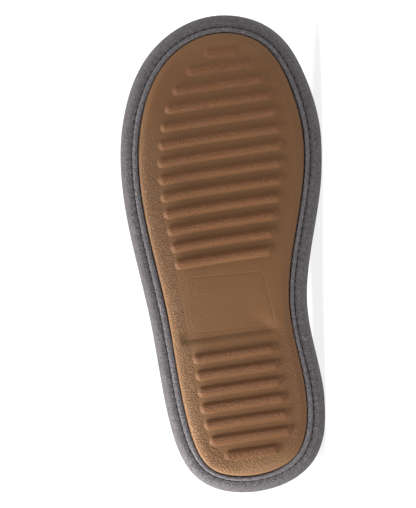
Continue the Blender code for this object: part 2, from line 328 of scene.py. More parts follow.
# Where the tread is painted paler, in the same way: a painted highlight for the light that falls on its
# outer side, rim, heel back and tip
PALE_SIDE = 0.62
PALE_SIDE_ACROSS = (-14.0, -36.0)
PALE_SIDE_TOE = 0.25
PALE_SIDE_SPAN = (215.0, 150.0)
PALE_HEEL_SIDE = 0.5
PALE_HEEL_ACROSS = (-20.0, -31.0)
PALE_HEEL_SPAN = (150.0, 80.0)
PALE_RIM = 0.25
PALE_RIM_FROM_EDGE = (3.4, 0.8)
PALE_RIM_ACROSS = (10.0, -20.0)
PALE_RIM_HEEL = 0.2
PALE_RIM_SPAN = (110.0, 150.0)
PALE_MIDDLE = 0.12
PALE_MIDDLE_SPAN = (125.0, 100.0)
PALE_MIDDLE_ACROSS = (24.0, -20.0)
PALE_BACK = 0.8
PALE_BACK_SPAN = (22.0, 10.0)
PALE_TIP = 0.25
PALE_TIP_SPAN = (222.0, 240.0)
PALE_MOST = 1.4
HEEL_TONE_SPAN = (100.0, 85.0)

# The materials' colours: two where noise mixes them
Tones = namedtuple("Tones", "dark light")
SUEDE_TONES = Tones((0.077, 0.0695, 0.073, 1), (0.186, 0.171, 0.179, 1))
# The piped strip's suede is a paler copy, a painted highlight for the light on its cord
PAINTED_LIGHTER_STRIP_TONES = Tones((0.090, 0.082, 0.086, 1), (0.218, 0.200, 0.210, 1))
FLEECE_TONES = Tones((0.300, 0.287, 0.287, 1), (0.520, 0.500, 0.498, 1))
DARK_THREAD_TONES = Tones((0.014, 0.013, 0.014, 1), (0.030, 0.028, 0.029, 1))
GREY_THREAD_TONES = Tones((0.090, 0.083, 0.088, 1), (0.150, 0.140, 0.147, 1))
TREAD_TONES = Tones((0.155, 0.074, 0.031, 1), (0.176, 0.084, 0.035, 1))
# The colour of the painted highlight on the tread's paler parts
PAINTED_HIGHLIGHT_TREAD = (0.256, 0.140, 0.069, 1)
FOREFOOT_RIB_TOPS = (0.184, 0.077, 0.030, 1)
HEEL_RIB_TOPS = (0.158, 0.067, 0.027, 1)
RUBBER_SPECKS = (0.108, 0.046, 0.018, 1)
# Painted shade in the dips of the tread's grain
GRAIN_DIP_SHADE = (0.092, 0.042, 0.018, 1)
SUEDE_SHEEN = (0.72, 0.70, 0.73, 1)
WHITE = (1.0, 1.0, 1.0, 1)

# The camera looks square at the sole. The photo shows this point of the shoe at its centre, and this
# many millimetres of the shoe's widest outline over its height, with the length leaning by this angle.
VIEW_CENTRE = (126.8, -8.86, WIDEST_HEIGHT)
VIEW_HEIGHT = 267.1
VIEW_LEAN = math.radians(8.2)
VIEW_DISTANCE = 4000.0
SENSOR = 36.0

# The stage, in metres and watts: how far the camera sees, the floor, the even sky and the soft lights
VIEW_LIMIT = 100.0
FLOOR_HALF = 6.0
FLOOR_COLOUR = (0.21, 0.21, 0.21, 1)
FLOOR_GLOW = 0.85
SKY_STRENGTH = 0.075
SHOE_MIDDLE = (-0.02, -0.03, 0.05)
Light = namedtuple("Light", "name place size power")
LIGHTS = (
    Light("overhead", place=(0.0, 0.50, 2.4), size=1.5, power=72.0),
    Light("key", place=(-0.62, -0.05, 1.36), size=0.5, power=21.0),
    Light("heel_light", place=(-0.25, -0.10, 0.20), size=0.15, power=1.0),
    Light("toe_light", place=(0.24, -0.12, 0.14), size=0.12, power=0.11),
)


def smooth(low, high, value):
    """Rises smoothly from 0 at the first limit to 1 at the second."""
    share = np.clip((value - low) / (high - low), 0, 1)
    return share * share * (3 - 2 * share)


def at_least(least, share):
    """A share that starts at this least value instead of at 0."""
    return least + (1 - least) * share


def lumps(points, size, seed):
    """Smooth noise between -1 and 1 with lumps of this size, the same on each run."""
    table = np.random.default_rng(seed).uniform(-1, 1, NOISE_VALUES)
    cells = np.floor(points / size).astype(np.int64)
    shares = smooth(0, 1, points / size - cells)
    total = np.zeros(len(points))
    for corner in itertools.product((0, 1), repeat=3):
        keys = ((cells + corner) * NOISE_PRIMES).sum(1) % NOISE_VALUES
        weights = np.where(corner, shares, 1 - shares).prod(1)
        total += weights * table[keys]
    return total


def pile(points, height, seed):
    """The uneven height of a fleece's pile, coarse and fine."""
    return height * (lumps(points, PILE_SIZE, seed) + 0.5 * lumps(points, PILE_SIZE / 2, seed + 1))


def lines_at(places):
    """The upper's lines, in millimetres and radians, at these shares of the way around the shoe."""
    rows = LINE_TABLE
    number = len(rows)
    spans = np.linalg.norm(np.roll(rows, -1, 0)[:, :2] - rows[:, :2], axis=1)
    before = np.roll(spans, 1)
    system = np.zeros((number, number))
    for i in range(number):
        system[i, i - 1] = before[i]
        system[i, i] = 2 * (before[i] + spans[i])
        system[i, (i + 1) % number] = spans[i]
    rates = (np.roll(rows, -1, 0) - rows) / spans[:, None]
    bends = np.linalg.solve(system, 6 * (rates - np.roll(rates, 1, 0)))
    starts = np.concatenate([[0.0], np.cumsum(spans)])
    at = np.asarray(places) % 1.0 * starts[-1]
    i = np.searchsorted(starts, at, "right") - 1
    j = (i + 1) % number
    span = spans[i][:, None]
    past = (at - starts[i])[:, None]
    left = span - past
    return (
        (bends[i] * left**3 + bends[j] * past**3) / (6 * span)
        + (rows[i] / span - bends[i] * span / 6) * left
        + (rows[j] / span - bends[j] * span / 6) * past
    )


def inward_at(places):
    """The directions, seen from above, that point straight in from the shoe's widest outline."""
    along = (lines_at(places + TINY_SHARE) - lines_at(places - TINY_SHARE))[:, :2]
    along /= np.linalg.norm(along, axis=1)[:, None]
    return np.stack([-along[:, 1], along[:, 0]], 1)


def outline_at(places, inset):
    """The shoe's widest outline, moved in by this much, as x and y."""
    return lines_at(places)[:, :2] + inset * inward_at(places)


def sole_at(places, inset):
    """A loop of the sole: the outline moved in, with the seam's and the outsole's own shifts."""
    base = lines_at(places)[:, :2]
    past_seam = np.clip((inset - PANEL_EDGE) / (OUTSOLE_EDGE - PANEL_EDGE), 0, 1)
    at_seam = np.clip(inset / SEAM_INSET, 0, 1) * (1 - past_seam)
    narrower = SEAM_HEEL_NARROWER * smooth(*SEAM_HEEL_SPAN, base[:, 0])
    loop = base + (inset - at_seam * narrower)[:, None] * inward_at(places)
    at_heel = np.clip(1 - loop[:, 0] / HEEL_END, 0, 1)
    loop += past_seam * at_heel[:, None] * np.array(HEEL_SHIFT)
    loop[:, 1] += at_seam * np.interp(base[:, 0], *zip(*SEAM_SIDE_SHIFTS))
    return loop


DENSE = np.linspace(0, 1, DENSE_POINTS, endpoint=False)


def travelled(loop):
    """How far along a closed loop each of its points lies, and the loop's whole length."""
    steps = np.linalg.norm(np.roll(loop, -1, 0) - loop, axis=1)
    return np.concatenate([[0.0], np.cumsum(steps)[:-1]]), steps.sum()


def seam_wave(places):
    """A wave along the seam, with one crest for each stitch."""
    lengths, whole = travelled(outline_at(places, SEAM_INSET))
    return np.cos(2 * math.pi * lengths * round(whole / SEAM_PITCH) / whole)


def even_places(count):
    """Shares around the shoe that are even steps along its widest outline."""
    lengths, whole = travelled(outline_at(DENSE, 0.0))
    return np.interp(np.arange(count) * whole / count, lengths, DENSE)


def lifted(points):
    """Points bent up with the whole shoe at the toe and at the back of the heel."""
    points = np.array(points, float)
    toe = np.clip((points[:, 0] - TOE_SPRING_FROM) / (LENGTH - TOE_SPRING_FROM), 0, None)
    heel = np.clip(1 - points[:, 0] / HEEL_ROLL_FROM, 0, None)
    points[:, 2] += TOE_SPRING * toe**2 + HEEL_ROLL * heel**2
    return points


def at_height(plan, height):
    """Plan points with a height."""
    return np.column_stack([plan, np.broadcast_to(height, len(plan))])


def lying_turn():
    """The turn from the shoe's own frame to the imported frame, in which it lies on its inner side."""
    heel, ball = LINES["heel_inner"], LINES["ball_inner"]
    swing = math.atan2((ball.out - heel.out) * BALL_WIDTH, (ball.along - heel.along) * LENGTH)
    return Matrix.Rotation(-math.pi / 2 - LYING_TILT, 3, "X") @ Matrix.Rotation(-swing, 3, "Z")


OWN_TURN = np.array(lying_turn())


def to_frame(points, clearance=0.0):
    """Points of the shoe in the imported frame, in metres, kept this many millimetres above the floor."""
    placed = points @ OWN_TURN.T + OWN_ORIGIN
    placed[:, 2] = np.maximum(placed[:, 2], clearance)
    return placed * MM


def loop_faces(rows, count, first=0, closed_rows=False):
    """Quads between rows of points that each run around the shoe."""
    row = np.arange(rows if closed_rows else rows - 1)[:, None]
    column = np.arange(count)[None, :]
    after = (column + 1) % count
    above = (row + 1) % rows
    corners = (row * count + column, row * count + after, above * count + after, above * count + column)
    return first + np.stack(np.broadcast_arrays(*corners), -1).reshape(-1, 4)


def cap_faces(count, first, upwards):
    """Quads across the inside of a loop, from its outer side to its inner side."""
    near = np.arange(1, count // 2 - 1)
    quads = np.stack([near, near + 1, count - near - 1, count - near], 1)
    ends = [(0, 1, count - 1), (count // 2 - 1, count // 2, count // 2 + 1)]
    faces = [tuple(first + quad) for quad in (quads if upwards else quads[:, ::-1])]
    for end in ends:
        turned = end if upwards else end[::-1]
        faces.append(tuple(first + corner for corner in turned))
    return faces


def ring_sides(ring):
    """The points on a ring's outer side, and the ones that face them on its inner side."""
    count = len(ring) // 2 - 1
    return ring[1 : count + 1], ring[: count + 1 : -1]


def field_points(outer_side, inner_side, shares):
    """A grid of points across the inside of a ring, at these shares of the way from its outer side."""
    return outer_side[:, None] + shares[None, :, None] * (inner_side - outer_side)[:, None]


def field_faces(around, columns, first_ring, first_field, upwards):
    """Faces across the inside of a ring, through the grid of points between its two sides."""
    count = around // 2 - 1
    numbers = np.empty((count, columns + 2), int)
    numbers[:, 0] = first_ring + 1 + np.arange(count)
    numbers[:, -1] = first_ring + around - 1 - np.arange(count)
    numbers[:, 1:-1] = first_field + np.arange(count * columns).reshape(count, -1)
    corners = (numbers[:-1, :-1], numbers[1:, :-1], numbers[1:, 1:], numbers[:-1, 1:])
    faces = np.stack(corners, -1).reshape(-1, 4).tolist()
    faces.append([first_ring, *numbers[0]])
    faces.append([first_ring + count + 1, *numbers[-1, ::-1]])
    return faces if upwards else [[face[0], *face[:0:-1]] for face in faces]


def add_piece(name, points, faces, materials, sharp=60.0):
    """A mesh object with smooth shading and its materials."""
    mesh = bpy.data.meshes.new(name)
    mesh.from_pydata(points.tolist(), [], [tuple(int(corner) for corner in face) for face in faces])
    mesh.validate()
    mesh.shade_smooth()
    mesh.set_sharp_from_angle(angle=math.radians(sharp))
    for material in materials:
        mesh.materials.append(material)
    piece = bpy.data.objects.new(name, mesh)
    bpy.context.scene.collection.objects.link(piece)
    return piece


def add_share(piece, name, values):
    """A named value for each point of a piece, for its material to read."""
    attribute = piece.data.attributes.new(name, "FLOAT", "POINT")
    attribute.data.foreach_set("value", np.asarray(values, np.float32))


def surface_normals(grid):
    """Outward directions of a grid of rows around the shoe, with shape rows, points, 3."""
    around = np.roll(grid, -1, 1) - np.roll(grid, 1, 1)
    upward = np.gradient(grid, axis=0)
    normals = np.cross(around, upward)
    return normals / np.linalg.norm(normals, axis=2)[..., None]


def upper_grid(places):
    """The outer surface of the upper, row by row from the seam under the foot up to the mouth."""
    rows = [at_height(sole_at(places, ring.inset), ring.height) for ring in SEAM_RINGS]
    for turn in np.linspace(math.pi / 2, 0, ROLL_STEPS + 1)[:-1]:
        inset = ROLL_CREST * (1 - math.cos(turn) ** (2 / ROLL_POWER))
        height = WIDEST_HEIGHT - (WIDEST_HEIGHT - SEAM_HEIGHT) * math.sin(turn) ** (2 / ROLL_POWER)
        rows.append(at_height(sole_at(places, inset), height))
    lines = Line(*lines_at(places).T)
    base = np.column_stack([lines.along, lines.out])
    mouth = np.column_stack([lines.mouth_along, lines.mouth_out])
    reach = np.linalg.norm(mouth - base, axis=1)
    across = (
        np.zeros(len(places)),
        lines.rise * math.tan(WALL_LEAN),
        reach - lines.run * np.cos(lines.slope),
        reach,
    )
    upward = (
        np.full(len(places), WIDEST_HEIGHT),
        WIDEST_HEIGHT + lines.rise,
        lines.mouth_height - lines.run * np.sin(lines.slope),
        lines.mouth_height,
    )
    for step in np.linspace(0, 1, WALL_STEPS + 1):
        weights = ((1 - step) ** 3, 3 * step * (1 - step) ** 2, 3 * step**2 * (1 - step), step**3)
        share = sum(weight * part for weight, part in zip(weights, across)) / reach
        height = sum(weight * part for weight, part in zip(weights, upward))
        rows.append(at_height(base + share[:, None] * (mouth - base), height))
    return np.array([lifted(row) for row in rows])


def from_segment(points, start, end):
    """How far points lie from a straight line, seen from above, and the nearest share of its length."""
    along = end - start
    share = np.clip((points[:, :2] - start) @ along / (along @ along), 0, 1)
    away = np.linalg.norm(points[:, :2] - start - share[:, None] * along, axis=1)
    return away, share


def crease_depth(points):
    """How deep the listed creases press the upper in at these points."""
    depth = np.zeros(len(points))
    for crease in CREASES:
        away, share = from_segment(points, np.array(crease.start), np.array(crease.end))
        fade = smooth(0, CREASE_FADE, share) * smooth(1, 1 - CREASE_FADE, share)
        depth += crease.depth * np.exp(-((away / crease.width) ** 2)) * at_least(CREASE_LEAST, fade)
    return depth * smooth(*CREASE_HEIGHTS, points[:, 2])


def below_mouth(grid):
    """How far down the wall from the mouth each point of the upper's grid lies."""
    steps = np.linalg.norm(np.diff(grid, axis=0), axis=2)
    below = np.cumsum(steps[::-1], axis=0)[::-1]
    return np.concatenate([below, np.zeros((1, grid.shape[1]))])


def dressed_upper(places):
    """The upper's outer grid with its swollen edge, slack, creases, seam puckers and collar groove."""
    grid = upper_grid(places)
    normals = surface_normals(grid)
    flat = grid.reshape(-1, 3)
    rolled = np.linspace(0, 1, len(SEAM_RINGS) + ROLL_STEPS + 1)[:, None]
    pucker = np.zeros(grid.shape[:2])
    pucker[: len(rolled)] = SEAM_PUCKER * seam_wave(places) * np.clip(1 - PUCKER_FADE * rolled, 0, 1)
    from_groove = below_mouth(grid) - COLLAR_MARGIN
    groove = COLLAR_GROOVE * np.exp(-((from_groove / COLLAR_GROOVE_WIDTH) ** 2))
    slack = SLACK_DEPTH * lumps(flat, SLACK_SIZE, seed=3) * smooth(*SLACK_HEIGHTS, flat[:, 2])
    widest = len(rolled) - 1
    bulge = np.interp(np.arange(len(grid)), (len(SEAM_RINGS), widest, len(grid) - 1), (0, 1, 0))
    along = grid[..., 0]
    at_ends = np.maximum(smooth(*PUFF_TOE_SPAN, along), smooth(*PUFF_HEEL_SPAN, along))
    puff = EDGE_PUFF * bulge[:, None] * at_least(PUFF_LEAST, at_ends)
    move = puff + pucker - groove + (slack - crease_depth(flat)).reshape(pucker.shape)
    return grid + move[..., None] * normals


def make_upper(suede, fleece):
    """The padded cloth wall: suede outside, a rounded turned collar, and a fleece lining inside."""
    places = even_places(UPPER_POINTS)
    outer = dressed_upper(places)
    plain = upper_grid(places)
    normals = surface_normals(plain)
    widest = len(SEAM_RINGS) + ROLL_STEPS
    picked = np.linspace(len(plain) - 1, widest, LINING_STEPS).round().astype(int)
    lining = (plain - WALL * normals)[picked]
    raised = pile(lining.reshape(-1, 3), LINING_PILE, seed=5).reshape(LINING_STEPS, -1)
    lining = lining - raised[..., None] * normals[picked]
    mouth, inside = outer[-1], lining[0]
    half = (mouth - inside) / 2
    upward = outer[-1] - outer[-3]
    upward /= np.linalg.norm(upward, axis=1)[:, None]
    rim = []
    for turn in np.linspace(0, math.pi, RIM_STEPS + 2)[1:-1]:
        rim.append((mouth + inside) / 2 + math.cos(turn) * half + RIM_CROWN * math.sin(turn) * upward)
    tucked = [lifted(at_height(outline_at(places, TUCKED_WALL.inset), TUCKED_WALL.height))]
    tucked += [lifted(at_height(sole_at(places, ring.inset), ring.height)) for ring in TUCKED_RINGS]
    outside = np.concatenate([outer, np.array(rim)])
    inward = np.concatenate([lining, np.array(tucked)])
    points = np.concatenate(
        [to_frame(outside.reshape(-1, 3)), to_frame(inward.reshape(-1, 3), clearance=WALL)]
    )
    rows = len(outside) + len(inward)
    faces = loop_faces(rows, UPPER_POINTS, closed_rows=True)
    upper = add_piece("upper_cloth", points, faces, (suede, fleece))
    lined = np.zeros(len(faces), np.int32)
    lined[(len(outside) - 1) * UPPER_POINTS : (rows - 2) * UPPER_POINTS] = 1
    upper.data.polygons.foreach_set("material_index", lined)
    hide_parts("upper")
    return upper


def ringed_points(rings, loop, places):
    """Points of a stack of rings, each on the loop for its inset."""
    return np.concatenate([at_height(loop(places, ring.inset), ring.height) for ring in rings])


def make_sole_panel(suede):
    """The cloth panel under the foot, whose piped strip is drawn in by the seam's stitches."""
    places = even_places(PANEL_POINTS)
    points = ringed_points(PANEL_RINGS, sole_at, places)
    wave = seam_wave(places)
    for number, ring in enumerate(PANEL_RINGS):
        part = slice(number * PANEL_POINTS, (number + 1) * PANEL_POINTS)
        near_seam = smooth(*PANEL_PUCKER_SPAN, ring.inset) * (ring.height < PANEL_UNDERSIDE)
        points[part, 2] -= PANEL_PUCKER * near_seam * wave
    points[:, 2] += PANEL_LUMP_DEPTH * lumps(points, PANEL_LUMP_SIZE, seed=11)
    faces = loop_faces(len(PANEL_RINGS), PANEL_POINTS).tolist()
    faces += cap_faces(PANEL_POINTS, 0, upwards=False)
    faces += cap_faces(PANEL_POINTS, (len(PANEL_RINGS) - 1) * PANEL_POINTS, upwards=True)
    panel = add_piece("sole_panel_cloth", to_frame(lifted(points)), faces, (suede,))
    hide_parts("sole_panel")
    return panel


def make_insole(fleece):
    """The foot pad, covered in fleece, with a rounded rim and a shallow cup under the heel."""
    places = even_places(INSOLE_POINTS)
    rings = ringed_points(INSOLE_RINGS, outline_at, places)
    first_ring = len(rings) - INSOLE_POINTS
    shares = np.linspace(0, 1, INSOLE_COLUMNS + 2)[1:-1]
    between = field_points(*ring_sides(rings[first_ring:]), shares)
    points = np.concatenate([rings, between.reshape(-1, 3)])
    top = points[:, 2] > INSOLE_RINGS[-3].height
    cup = np.exp(-(((points[:, 0] - CUP_PLACE) / CUP_LENGTH) ** 2) - (points[:, 1] / CUP_WIDTH) ** 2)
    points[:, 2] += np.where(top, pile(points, INSOLE_PILE, seed=8) - CUP_DEPTH * cup, 0)
    faces = loop_faces(len(INSOLE_RINGS), INSOLE_POINTS).tolist()
    faces += cap_faces(INSOLE_POINTS, 0, upwards=False)
    faces += field_faces(INSOLE_POINTS, INSOLE_COLUMNS, first_ring, len(rings), upwards=True)
    insole = add_piece("insole_pad", to_frame(lifted(points), WALL + GAP), faces, (fleece,))
    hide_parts("insole")
    return insole


def forefoot_rib_ends(place):
    """The outer and inner end of a forefoot rib at this place along the shoe."""
    loop = sole_at(DENSE, FOREFOOT_RIB_MARGIN)
    following = np.roll(loop, -1, 0)
    crossing = (loop[:, 0] - place) * (following[:, 0] - place) < 0
    start, end = loop[crossing], following[crossing]
    share = (place - start[:, 0]) / (end[:, 0] - start[:, 0])
    outs = start[:, 1] + share * (end[:, 1] - start[:, 1])
    shift = np.interp(place, *zip(*FOREFOOT_RIB_SHIFTS))
    return outs.min() + shift, outs.max() + shift


def heel_ribs():
    """The place along the shoe and the two ends of each heel rib."""
    return [(HEEL_RIB_FIRST + HEEL_RIB_PITCH * i, *ends) for i, ends in enumerate(HEEL_RIB_ENDS)]


def forefoot_ribs():
    """The place along the shoe and the two ends of each forefoot rib, and of the one at the toe."""
    places = [FOREFOOT_RIB_FIRST + FOREFOOT_RIB_PITCH * i for i in range(FOREFOOT_RIB_COUNT)]
    return [(place, *forefoot_rib_ends(place)) for place in places] + [(TOE_RIB_PLACE, *TOE_RIB_ENDS)]


def rib_shapes(points):
    """How far the ribs, rounded bars, stand out at each point of the tread, and which share is rib."""
    rise, share = np.zeros((2, len(points)))
    bow = RIB_BOW * np.clip(RIB_BOW_FROM - points[:, 1], 0, None) ** 2 * (points[:, 0] > WAIST_FROM)
    along = points[:, 0] - RIB_SHIFT + bow
    for place, outer, inner in heel_ribs() + forefoot_ribs():
        beyond = np.maximum(outer + RIB_WIDTH / 2 - points[:, 1], points[:, 1] - inner + RIB_WIDTH / 2)
        away = np.hypot(along - place, np.maximum(beyond, 0))
        dome = 1 - (away / RIB_HALF) ** RIB_POWER
        height = np.interp(place, *zip(*RIB_HEIGHTS))
        rise = np.maximum(rise, RIB_FILLET * np.logaddexp(0, height * dome / RIB_FILLET))
        share = np.maximum(share, np.clip(RIB_SHARE_GAIN * dome, 0, 1))
    return rise, share


def waist_rise(along):
    """How far the tread is raised in front of the heel's step, falling back to the forefoot."""
    step = np.clip((along - WAIST_FROM) / WAIST_STEP, 0, 1) ** WAIST_STEP_POWER
    fall = np.clip((WAIST_TO - along) / (WAIST_TO - WAIST_FROM - WAIST_STEP), 0, 1)
    return WAIST_RISE * np.minimum(step, fall)


def inside_waist(between, outer_side, inner_side):
    """The share of the waist's rise at each point of the tread's grid, which fades to both sides."""
    from_outer = between[..., 1] - outer_side[:, None, 1]
    from_inner = inner_side[:, None, 1] - between[..., 1]
    eased = WAIST_EASE * smooth(*WAIST_EASE_SPAN, between[..., 0])
    share = np.ones(between.shape[:2])
    for (low, high), from_side in zip(WAIST_MARGINS, (from_outer, from_inner)):
        share *= smooth(low, high + eased, from_side)
    return share


def outsole_stations(low, high):
    """Places along the outsole, close together at both ends so that its outline stays round there."""
    end = END_LENGTH * np.linspace(0, 1, END_STATIONS) ** 2
    middle_count = int((high - low - 2 * END_LENGTH) / STATION_STEP)
    middle = np.linspace(low + END_LENGTH, high - END_LENGTH, middle_count)
    return np.concatenate([low + end[:-1], middle, (high - end[:-1])[::-1]])


def outsole_loop(places, inset):
    """A loop of the outsole, which lies a little farther in around the ball and behind the heel."""
    plain = sole_at(places, inset)
    along = plain[:, 0]
    at_ball = smooth(*TRIM_WAIST_SPAN, along) * smooth(*TRIM_TOE_SPAN, along)
    trimmed = np.maximum(at_ball, smooth(*TRIM_HEEL_SPAN, along))
    return plain + trimmed[:, None] * (sole_at(places, inset + OUTSOLE_TRIM) - plain)


def outsole_places():
    """Shares around the shoe whose points on the outsole's field face each other across it."""
    loop = outsole_loop(DENSE, OUTSOLE_FIELD)
    back, tip = loop[:, 0].argmin(), loop[:, 0].argmax()
    stations = outsole_stations(loop[back, 0], loop[tip, 0])[1:-1]
    start = back - DENSE_POINTS if back > tip else back
    outer = np.arange(start, tip + 1)
    inner = np.arange(tip, start + DENSE_POINTS + 1)
    outer_places = np.interp(stations, loop[outer % DENSE_POINTS, 0], outer) / DENSE_POINTS
    falling = loop[inner % DENSE_POINTS, 0][::-1]
    inner_places = np.interp(stations, falling, inner[::-1].astype(float)) / DENSE_POINTS
    back_place, tip_place = start / DENSE_POINTS, tip / DENSE_POINTS
    return np.concatenate([[back_place], outer_places, [tip_place], inner_places[::-1]])


def make_outsole(rubber):
    """The moulded sole: a rounded edge, and a tread with ribs, the heel's step and a raised waist."""
    places = outsole_places()
    around = len(places)
    rings = ringed_points(OUTSOLE_RINGS, outsole_loop, places)
    first_ring = len(rings) - around
    outer_side, inner_side = ring_sides(rings[first_ring:])
    even = np.linspace(0, 1, OUTSOLE_COLUMNS + 2)[1:-1]
    shares = even - COLUMN_CROWDING * np.sin(2 * math.pi * even)
    between = field_points(outer_side, inner_side, shares)
    points = np.concatenate([rings, between.reshape(-1, 3)])
    ribbed, rib_share = rib_shapes(points)
    field_share = inside_waist(between, outer_side, inner_side).ravel()
    inside = np.concatenate([np.zeros(len(rings)), field_share])
    points[:, 2] += inside * waist_rise(points[:, 0]) - ribbed
    faces = loop_faces(len(OUTSOLE_RINGS), around)[:, ::-1].tolist()
    faces += cap_faces(around, 0, upwards=True)
    faces += field_faces(around, OUTSOLE_COLUMNS, first_ring, len(rings), upwards=False)
    outsole = add_piece("outsole_rubber", to_frame(lifted(points)), faces, (rubber,))
    insets = np.repeat([ring.inset for ring in OUTSOLE_RINGS], around)
    from_edge = np.concatenate([insets, np.full(len(field_share), OUTSOLE_FIELD)]) - OUTSOLE_EDGE
    add_share(outsole, "rib", rib_share)
    add_share(outsole, "grain", grain_share(points, from_edge) + GRAIN_ON_RIBS * rib_share)
    # The paler parts of the tread are a painted highlight
    add_share(outsole, "pale", painted_highlight_share(points, from_edge))
    add_share(outsole, "heel", smooth(*HEEL_TONE_SPAN, points[:, 0]))
    add_share(outsole, "panel_line", panel_distance(points))
    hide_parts("outsole")
    return outsole


def panel_outline():
    """The frame line of the waist's panel, with rounded corners."""
    outline = []
    befores, afters = np.roll(WAIST_PANEL, 1, 0), np.roll(WAIST_PANEL, -1, 0)
    for before, corner, after in zip(befores, WAIST_PANEL, afters):
        start = corner + PANEL_ROUNDING * (before - corner) / np.linalg.norm(before - corner)
        end = corner + PANEL_ROUNDING * (after - corner) / np.linalg.norm(after - corner)
        for share in np.linspace(0, 1, PANEL_CORNER_STEPS):
            outline.append((1 - share) ** 2 * start + 2 * share * (1 - share) * corner + share**2 * end)
    return np.array(outline)


def panel_distance(points):
    """How far each point lies from the frame line of the waist's panel."""
    outline = panel_outline()
    ends = np.roll(outline, -1, 0)
    return np.min([from_segment(points, start, end)[0] for start, end in zip(outline, ends)], axis=0)


def beyond_ribs(points):
    """How far each point of the tread lies outside the field of ribs and the waist between them."""
    places, outers, inners = np.array(heel_ribs() + forefoot_ribs()).T
    along = np.clip(points[:, 0], places[0], places[-1])
    outer = np.interp(along, places, outers) - points[:, 1]
    inner = points[:, 1] - np.interp(along, places, inners)
    across = np.maximum(np.maximum(outer, inner), 0)
    return np.hypot(across, points[:, 0] - along)


def grain_share(points, from_edge):
    """Where the tread has its pebbled grain: the border around the ribs, but not the very edge."""
    along, out = points[:, 0], points[:, 1]
    border = smooth(*GRAIN_FROM_RIBS, beyond_ribs(points)) * smooth(*GRAIN_FROM_EDGE, from_edge)
    outer_side = smooth(*GRAIN_ACROSS, out) * smooth(*GRAIN_BALL_SPAN, along)
    outer_side *= at_least(GRAIN_FOREFOOT, smooth(*GRAIN_WAIST_SPAN, along))
    heel = GRAIN_HEEL * smooth(*GRAIN_HEEL_SPAN, along)
    return at_least(GRAIN_LEAST, border * np.maximum(outer_side, heel))


def painted_highlight_share(points, from_edge):
    """Where the tread is painted paler, as a painted highlight: its outer side and rim, around the heel
    and a little at the toe.
    """
    along, out = points[:, 0], points[:, 1]
    side = smooth(*PALE_SIDE_ACROSS, out) * at_least(PALE_SIDE_TOE, smooth(*PALE_SIDE_SPAN, along))
    heel_side = smooth(*PALE_HEEL_ACROSS, out) * smooth(*PALE_HEEL_SPAN, along)
    rim = smooth(*PALE_RIM_FROM_EDGE, from_edge) * smooth(*PALE_RIM_ACROSS, out)
    rim *= at_least(PALE_RIM_HEEL, smooth(*PALE_RIM_SPAN, along))
    edge = PALE_SIDE * side + PALE_HEEL_SIDE * heel_side + PALE_RIM * rim
    middle = PALE_MIDDLE * smooth(*PALE_MIDDLE_SPAN, along) * smooth(*PALE_MIDDLE_ACROSS, out)
    back = PALE_BACK * smooth(*PALE_BACK_SPAN, along)
    tip = PALE_TIP * smooth(*PALE_TIP_SPAN, along)
    return np.clip(np.maximum(edge, np.maximum(back, tip)) + middle, 0, PALE_MOST)


def stitch_row(path, away, pitch, length, thickness):
    """Short threads along a closed path: points and faces. Away is the side from which they show."""
    lengths, whole = travelled(path)
    count = round(whole / pitch)
    reach = np.concatenate([lengths, [whole]])
    closed = np.concatenate([path, path[:1]])
    facing = np.concatenate([away, away[:1]])

    def found(values, at):
        """Values at this length along the path."""
        return np.array([np.interp(at % whole, reach, values[:, axis]) for axis in range(3)])

    points, faces = [], []
    for number in range(count):
        middle = (number + 0.5) * whole / count
        first = len(points)
        for share in np.linspace(-1, 1, THREAD_SECTIONS):
            at = middle + share * length / 2
            centre = found(closed, at)
            up = found(facing, at)
            along = found(closed, at + THREAD_LOOK_AHEAD) - centre
            side = np.cross(along / np.linalg.norm(along), up)
            side /= np.linalg.norm(side)
            radius = thickness * math.sqrt(max(1 - share**4, THREAD_TIP))
            sunk = centre - THREAD_SINK * share**2 * up
            for turn in np.arange(THREAD_SIDES) * 2 * math.pi / THREAD_SIDES:
                points.append(sunk + radius * (math.cos(turn) * side + math.sin(turn) * up))
        faces += loop_faces(THREAD_SECTIONS, THREAD_SIDES, first).tolist()
        faces.append(range(first, first + THREAD_SIDES)[::-1])
        faces.append(range(len(points) - THREAD_SIDES, len(points)))
    return np.array(points), faces


def at_depth(values, below, depth):
    """A grid's values at this depth below the mouth, one for each of its columns."""
    found = np.empty(values.shape[1:])
    for column, axis in np.ndindex(*found.shape):
        found[column, axis] = np.interp(depth, below[::-1, column], values[::-1, column, axis])
    return found


def make_stitches(dark_thread, grey_thread):
    """The threads in the seam under the foot, and the row of stitches around the collar."""
    places = even_places(UPPER_POINTS)
    seam = lifted(at_height(sole_at(places, SEAM_STITCH_INSET), SEAM_HEIGHT + SEAM_STITCH_SUNK))
    under = np.tile((0.0, 0.0, -1.0), (UPPER_POINTS, 1))
    points, faces = stitch_row(seam, under, SEAM_PITCH, SEAM_STITCH, SEAM_THREAD)
    seam_stitches = add_piece("seam_stitches", to_frame(points), faces, (dark_thread,))
    grid = dressed_upper(places)
    below = below_mouth(grid)
    facing = at_depth(surface_normals(grid), below, COLLAR_MARGIN)
    collar = at_depth(grid, below, COLLAR_MARGIN) + COLLAR_STITCH_RAISED * facing
    points, faces = stitch_row(collar, facing, COLLAR_PITCH, COLLAR_STITCH, COLLAR_THREAD)
    placed = to_frame(points, COLLAR_CLEARANCE)
    collar_stitches = add_piece("collar_stitches", placed, faces, (grey_thread,))
    return seam_stitches, collar_stitches


def add_node(tree, kind, inputs=None, **settings):
    """A shader node with its settings, and its inputs set to values or linked from other nodes."""
    made = tree.nodes.new(kind)
    for key, value in settings.items():
        setattr(made, key, value)
    for key, value in (inputs or {}).items():
        if isinstance(value, bpy.types.NodeSocket):
            tree.links.new(value, made.inputs[key])
        else:
            made.inputs[key].default_value = value
    return made


